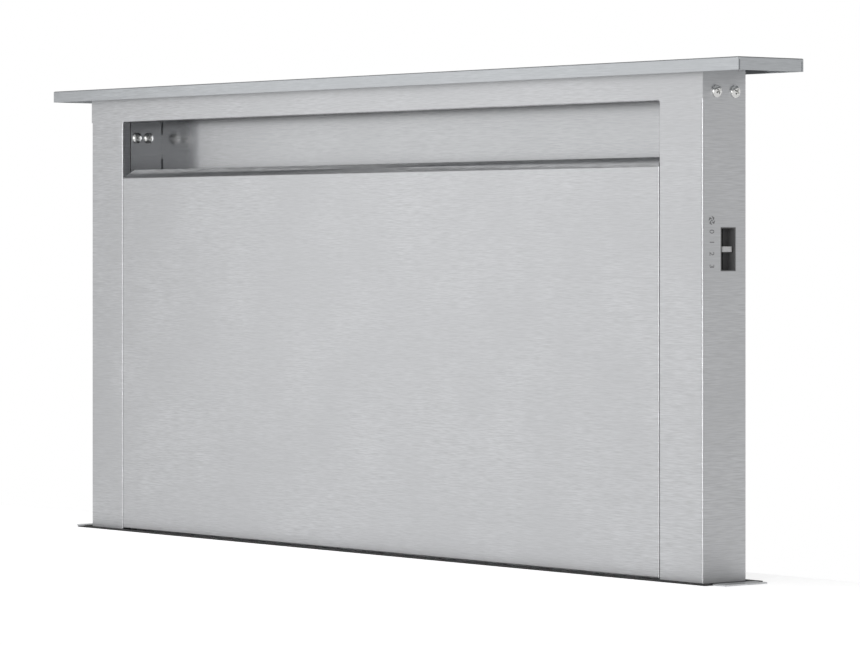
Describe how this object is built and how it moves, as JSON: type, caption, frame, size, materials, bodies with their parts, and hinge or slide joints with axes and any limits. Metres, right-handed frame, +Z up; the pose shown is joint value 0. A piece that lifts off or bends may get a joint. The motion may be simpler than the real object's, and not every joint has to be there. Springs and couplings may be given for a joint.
{
  "type": "downdraft vent",
  "caption": "Lift-up downdraft vent for a worktop: stainless riser with a cap, an intake slot and a tilting panel, on a screw lift in a housing with a side blower, duct collar, damper and legs.",
  "frame": {"origin": "in the plane of the worktop, midway along the slot and midway through its depth, which is the centre of the four worktop screws", "axes": "+X along the worktop to the right as the cook sees it, +Y away from the cook, +Z up; the riser is stored fully raised"},
  "size_m": [0.914, 0.26, 1.126],
  "materials": {
    "stainless": "brushed along the length, satin",
    "galvanised": "zinc-coated sheet, dull grey",
    "fastener": "bright zinc or stainless",
    "machined_steel": "turned or drawn, smooth",
    "black_plastic": "fine matt",
    "rubber": "matt black",
    "aluminium": "plain mill finish",
    "bronze": "turned",
    "magnet": "black catch body",
    "motor_can": "dark satin paint",
    "circuit_board": "green board with dark components"
  },
  "bodies": {
    "housing": {"blower_motor": "motor_can", "blower_mount_plate": "galvanised", "cable_gland": "black_plastic", "control_board": "circuit_board", "control_box": "galvanised", "control_cover": "galvanised", "counter_flange_left": "galvanised", "counter_flange_right": "galvanised", "damper_pin": "fastener", "drive_belt": "rubber", "duct_collar": "galvanised", "duct_transition": "galvanised", "guide_rails": "machined_steel", "housing_back": "galvanised", "housing_floor": "galvanised", "housing_front": "galvanised", "housing_left": "galvanised", "housing_right": "galvanised", "housing_screws": "fastener", "inlet_ring": "galvanised", "lift_gearbox": "aluminium", "lift_motor": "motor_can", "limit_switches": "black_plastic", "motor_hanger": "galvanised", "screw_bearings": "black_plastic", "scroll_cover": "galvanised", "scroll_wrap": "galvanised", "support_leg_left": "galvanised", "support_leg_right": "galvanised", "wiper_seal": "rubber"},
    "riser": {"riser_shell": "stainless", "back_panel": "stainless", "cap": "stainless", "cap_brackets": "galvanised", "riser_screws": "fastener", "panel_catches": "magnet", "slider_bezel": "black_plastic", "switch_body": "black_plastic", "filter_frame_left": "aluminium", "filter_frame_right": "aluminium", "filter_mesh": "aluminium", "filter_pulls": "aluminium", "filter_sill": "galvanised", "air_baffle": "galvanised", "riser_base": "galvanised", "lift_nuts": "bronze", "guide_shoes": "black_plastic", "limit_striker": "black_plastic", "column_left": "stainless", "column_right": "stainless", "panel_pins": "fastener"},
    "panel": {"front_panel": "stainless"},
    "knob": {"speed_knob": "black_plastic"},
    "screw_left": {"lead_screw_left": "machined_steel", "screw_pulley_left": "black_plastic"},
    "screw_right": {"lead_screw_right": "machined_steel", "screw_pulley_right": "black_plastic"},
    "impeller": {"blower_wheel": "black_plastic", "fan_shaft": "machined_steel"},
    "damper": {"damper_flap": "galvanised"}
  },
  "joints": [
    {"name": "riser_lift", "type": "slide", "parent": "housing", "child": "riser", "axis": [0, 0, 1], "range_m": [-0.3845, 0]},
    {"name": "panel_tilt", "type": "hinge", "parent": "riser", "child": "panel", "pos_m": [0, -0.0183, 0.006], "axis": [1, 0, 0], "range_deg": [0, 20]},
    {"name": "speed_slide", "type": "slide", "parent": "riser", "child": "knob", "axis": [0, 0, 1], "range_m": [-0.013, 0.013]},
    {"name": "screw_left_turn", "type": "hinge", "parent": "housing", "child": "screw_left", "pos_m": [-0.373, 0, -0.3], "axis": [0, 0, 1], "range_deg": [-5540, 0]},
    {"name": "screw_right_turn", "type": "hinge", "parent": "housing", "child": "screw_right", "pos_m": [0.373, 0, -0.3], "axis": [0, 0, 1], "range_deg": [-5540, 0]},
    {"name": "impeller_spin", "type": "hinge", "parent": "housing", "child": "impeller", "pos_m": [-0.06, -0.073, -0.43], "axis": [0, 1, 0], "continuous": true},
    {"name": "damper_swing", "type": "hinge", "parent": "housing", "child": "damper", "pos_m": [0.22, -0.113, -0.521], "axis": [0, -1, 0], "range_deg": [0, 75]}
  ],
  "couplings": [
    {"joint": "screw_left_turn", "follows": "riser_lift", "rad_per_m": 251.33},
    {"joint": "screw_right_turn", "follows": "riser_lift", "rad_per_m": 251.33}
  ]
}
